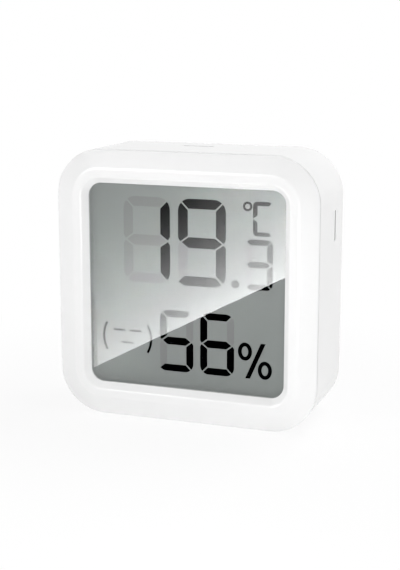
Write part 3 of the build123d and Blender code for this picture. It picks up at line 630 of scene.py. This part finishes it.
brackets = signs["brackets"]
for x, way in zip(brackets["middles"], (1, -1)):
    # the bracket's line is swept about a centre that lies on its hollow side
    band = bmesh.new()
    centre = Vector((x + way * brackets["radius"], brackets["z"], 0.0))
    half = math.radians(brackets["halfAngle"])
    radii = [brackets["radius"] + side * brackets["line"] / 2 for side in (-1, 1)]
    rim = [centre + Vector((-way * r * math.cos(half), -r * math.sin(half), 0.0)) for r in radii]
    ends = [band.verts.new(point) for point in rim]
    bmesh.ops.spin(band, geom=ends + [band.edges.new(ends)], cent=centre, axis=(0.0, 0.0, -way),
                   angle=2 * half, steps=24)
    addShape(lit, band)

standOff(lit, display["ink"])
standOff(unlit, display["unlitInk"])
litPiece = makeObject("displaySegmentsLit", lit, litCrystal)
unlitPiece = makeObject("displaySegmentsUnlit", unlit, unlitCrystal)
for piece in (litPiece, unlitPiece):
    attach(piece, "root")
print("display finished")


# Floor, lamps and world
floorLook = {
    "size": 6.0,             # metres
    "colour": "#F7F7F7", "shade": "#F3F3F3", "fibreMm": 1.5,
    "glow": 0.90,            # the share of plain white in it, as the camera sees it beside the object
    "fades": (0.04, 0.10),   # metres from the object's middle, over which that share grows to 1
}


def makeFloor(look):
    shape = bmesh.new()
    bmesh.ops.create_grid(shape, x_segments=1, y_segments=1, size=look["size"] / 2)
    material = emptyMaterial("Paper sweep white")
    coordinates = addNode(material, "ShaderNodeTexCoord")
    fibres = addNode(material, "ShaderNodeTexNoise",
                     values={"Scale": grainSize(look["fibreMm"]), "Detail": 3.0},
                     links={"Vector": (coordinates, "Object")})
    colour = addNode(material, "ShaderNodeMix", settings={"data_type": "RGBA"},
                     values={"A": linear(look["colour"]), "B": linear(look["shade"])},
                     links={"Factor": (fibres, "Fac")})
    matt = addNode(material, "ShaderNodeBsdfDiffuse", links={"Color": (colour, "Result")})
    glow = addNode(material, "ShaderNodeEmission",
                   values={"Color": (1.0, 1.0, 1.0, 1.0), "Strength": 1.0})
    reach = addNode(material, "ShaderNodeVectorMath", settings={"operation": "LENGTH"},
                    links={0: (coordinates, "Object")})
    near, far = look["fades"]
    fade = addNode(material, "ShaderNodeMapRange", settings={"interpolation_type": "SMOOTHSTEP"},
                   values={"From Min": near, "From Max": far, "To Min": look["glow"], "To Max": 1.0},
                   links={"Value": (reach, "Value")})
    path = addNode(material, "ShaderNodeLightPath")
    seen = addNode(material, "ShaderNodeMath", settings={"operation": "MAXIMUM"},
                   links={0: (path, "Is Camera Ray"), 1: (path, "Is Transmission Ray")})
    share = addNode(material, "ShaderNodeMath", settings={"operation": "MULTIPLY"},
                    links={0: (seen, "Value"), 1: (fade, "Result")})
    mixed = addNode(material, "ShaderNodeMixShader",
                    links={0: (share, "Value"), 1: (matt, "BSDF"), 2: (glow, "Emission")})
    addNode(material, "ShaderNodeOutputMaterial", links={"Surface": (mixed, "Shader")})
    floor = makeObject("floor", shape, material)
    floor.visible_glossy = False      # polished faces mirror the white world instead


makeFloor(floorLook)

# Softboxes, each aimed at the object's middle: place and size in metres, power in watts. Those named
# low stand just above the floor and light the bevel under the window. Seen straight on, the window
# mirrors those two as pale rectangles, a fault that is left in.
softboxes = {
    "boxFront": {"place": (-0.131, -0.281, 0.105), "size": 0.12, "power": 0.336},
    "boxLeft": {"place": (-0.205, -0.096, 0.254), "size": 0.12, "power": 0.117},
    "boxRight": {"place": (0.45, 0.0, 0.20), "size": 0.30, "power": 0.63},
    "boxTop": {"place": (0.158, -0.028, 0.305), "size": 0.12, "power": 0.112},
    "boxTopBack": {"place": (0.12, 0.16, 0.36), "size": 0.20, "power": 0.73},
    "boxBack": {"place": (-0.08, 0.30, 0.022), "size": 0.04, "power": 0.28},
    "lowNear": {"place": (0.035, -0.10, 0.014), "size": 0.026, "power": 0.018},
    "lowFront": {"place": (0.02, -0.15, 0.019), "size": 0.037, "power": 0.0155},
}

# The display has lamps of its own that cast no shadow: the real window bends light in under its rim,
# so the display's edges are as bright as its middle
displayBox = {"place": (0.10, -0.35, 0.20), "size": 0.10, "power": 1.25}
displayPieces = [nodes["display_polariser"], litPiece, unlitPiece]
forDisplay, forTheRest = bpy.data.collections.new("forDisplay"), bpy.data.collections.new("forTheRest")
# Lamps given forDisplay light only these pieces, and lamps given forTheRest light all but them
for piece in displayPieces:
    forDisplay.objects.link(piece)
    forTheRest.objects.link(piece)
for member in forTheRest.collection_objects:
    member.light_linking.link_state = "EXCLUDE"


def addLamp(name, lamp, placed, receivers):
    # placed is the lamp's matrix, and it shines along its own -Z
    data = bpy.data.lights.new(name, "AREA")
    data.shape = "RECTANGLE"
    data.size, data.size_y = lamp["size"], lamp.get("width", lamp["size"])
    data.spread = math.radians(lamp.get("spread", 180.0))
    data.energy = lamp["power"]
    data.use_shadow = receivers is not forDisplay
    light = bpy.data.objects.new(name, data)
    light.matrix_world = placed
    light.visible_camera = False
    light.light_linking.receiver_collection = receivers
    bpy.context.scene.collection.objects.link(light)


def addSoftbox(name, lamp, receivers):
    place, objectMiddle = Vector(lamp["place"]), Vector((0.0, 0.0, windowHeight * mm))
    aimed = (objectMiddle - place).to_track_quat("-Z", "Y").to_matrix().to_4x4()
    addLamp(name, lamp, Matrix.Translation(place) @ aimed, receivers)


for name, lamp in softboxes.items():
    addSoftbox(name, lamp, forTheRest)
addSoftbox("boxDisplay", displayBox, forDisplay)

worldLook = {"ambient": 0.15, "shown": 1.0}      # what it sheds on the object, and what is seen of it
world = bpy.data.worlds.new("studio")
bpy.context.scene.world = world
world.use_nodes = True
world.node_tree.nodes.clear()
path = addNode(world, "ShaderNodeLightPath")
seen = addNode(world, "ShaderNodeMath", settings={"operation": "MAXIMUM"},
               links={0: (path, "Is Camera Ray"), 1: (path, "Is Glossy Ray")})
seenAll = addNode(world, "ShaderNodeMath", settings={"operation": "MAXIMUM"},
                  links={0: (seen, "Value"), 1: (path, "Is Transmission Ray")})
strength = addNode(world, "ShaderNodeMapRange",
                   values={"To Min": worldLook["ambient"], "To Max": worldLook["shown"]},
                   links={"Value": (seenAll, "Value")})
background = addNode(world, "ShaderNodeBackground", values={"Color": (1.0, 1.0, 1.0, 1.0)},
                     links={"Strength": (strength, "Result")})
addNode(world, "ShaderNodeOutputWorld", links={"Surface": (background, "Background")})
print("lamps and world set")

# The window mirrors a dark room with one graded softbox in it, whose straight side gives the
# diagonal glare. Only sharp reflections see them, so they shed no light on the case.
glare = {
    "edgeFrom": (-21.79, -19.04), "edgeTo": (20.63, 3.60),      # mm on the display
    "mirrorDepth": (windowLow.y + windowHigh.y) / 2,      # between the window's two faces, mm
    "strength": 11.0,
    "fades": (-6.0, 36.3),       # mm across the edge, from full strength to none
    "fall": 3.53,                # the power by which it fades
    "tilt": 0.126,               # mm that the fading moves away from the edge per mm along it
    "level": 24.0,               # mm along the edge to where it doesn't
    # how far away in metres, and over which mm of the display it is mirrored
    "softbox": {"away": 2.5, "along": (-15.0, 75.0), "across": (0.0, 43.0)},
    "darkRoom": {"away": 2.6, "along": (-400.0, 400.0), "across": (-400.0, 400.0)},
}
edgeAlong = (Vector(glare["edgeTo"]) - Vector(glare["edgeFrom"])).normalized()
edgeAcross = Vector((-edgeAlong.y, edgeAlong.x))


def onDisplay(along, across):
    # the place on the display's front that lies so many mm along the glare's edge, and across it
    place = Vector(glare["edgeFrom"]) + edgeAlong * along + edgeAcross * across
    return Vector((place.x, display["front"], windowHeight + place.y)) * mm


def mirroredOver(place, away):
    # the point that far in front of the object that the window mirrors over that place
    eye = placeOfEye(cameraFit)
    ray = place - eye
    hit = eye + ray * ((glare["mirrorDepth"] * mm - eye.y) / ray.y)
    ray.y = -ray.y
    return hit + ray * ((-away - hit.y) / ray.y)


def addSheet(name, sheet, material):
    # a flat sheet whose UV map is its place on the display: mm along the glare's edge, and across it
    shape = bmesh.new()
    places = shape.loops.layers.uv.new("UVMap")
    (start, end), (low, high) = sheet["along"], sheet["across"]
    corners = [(start, low), (end, low), (end, high), (start, high)]
    face = shape.faces.new([shape.verts.new(mirroredOver(onDisplay(*corner), sheet["away"]))
                            for corner in corners])
    for loop, corner in zip(face.loops, corners):
        loop[places].uv = corner
    hung = makeObject(name, shape, material)
    hung.visible_camera = hung.visible_diffuse = False
    hung.visible_transmission = hung.visible_shadow = False


def sheetMaterial(name, look=None):
    # bright and graded away from the glare's edge where it has a look, and black where it has none
    material = emptyMaterial(name)
    grading = {}
    if look:
        coordinates = addNode(material, "ShaderNodeTexCoord")
        parts = addNode(material, "ShaderNodeSeparateXYZ", links={"Vector": (coordinates, "UV")})
        shift = addNode(material, "ShaderNodeMath", settings={"operation": "MULTIPLY_ADD"},
                        values={1: -look["tilt"], 2: look["tilt"] * look["level"]},
                        links={0: (parts, "X")})
        shifted = addNode(material, "ShaderNodeMath", settings={"operation": "ADD"},
                          links={0: (parts, "Y"), 1: (shift, "Value")})
        full, gone = look["fades"]
        left = addNode(material, "ShaderNodeMapRange",
                       values={"From Min": full, "From Max": gone, "To Min": 1.0, "To Max": 0.0},
                       links={"Value": (shifted, "Value")})
        fall = addNode(material, "ShaderNodeMath", settings={"operation": "POWER"},
                       values={1: look["fall"]}, links={0: (left, "Result")})
        graded = addNode(material, "ShaderNodeMath", settings={"operation": "MULTIPLY"},
                         values={1: look["strength"]}, links={0: (fall, "Value")})
        grading = {"Strength": (graded, "Value")}
    glow = addNode(material, "ShaderNodeEmission", values={"Strength": 0.0}, links=grading)
    clear = addNode(material, "ShaderNodeBsdfTransparent")
    path = addNode(material, "ShaderNodeLightPath")
    mixed = addNode(material, "ShaderNodeMixShader",
                    links={0: (path, "Is Singular Ray"), 1: (clear, "BSDF"), 2: (glow, "Emission")})
    addNode(material, "ShaderNodeOutputMaterial", links={"Surface": (mixed, "Shader")})
    return material


addSheet("softbox", glare["softbox"], sheetMaterial("Softbox cloth", glare))
addSheet("darkRoom", glare["darkRoom"], sheetMaterial("Velvet black"))

# A strip light behind a grid lies along the glare, and lights the display a little more under it
strip = {
    "along": 28.0, "across": 13.3,      # mm on the display, behind the middle of the strip
    "away": 0.35, "size": 0.080, "width": 0.004,      # metres
    "spread": 6.2,           # degrees
    "power": 0.0029,         # watts
}
lying = edgeAlong + edgeAcross * glare["tilt"]
stripPlace = onDisplay(strip["along"], strip["across"]) - Vector((0.0, strip["away"], 0.0))
addLamp("stripDisplay", strip,
        Matrix.Translation(stripPlace) @ Matrix.Rotation(-math.atan2(lying.y, lying.x), 4, "Y")
        @ Matrix.Rotation(math.radians(90), 4, "X"), forDisplay)
print("glare set")

bpy.context.scene.view_settings.view_transform = "Standard"
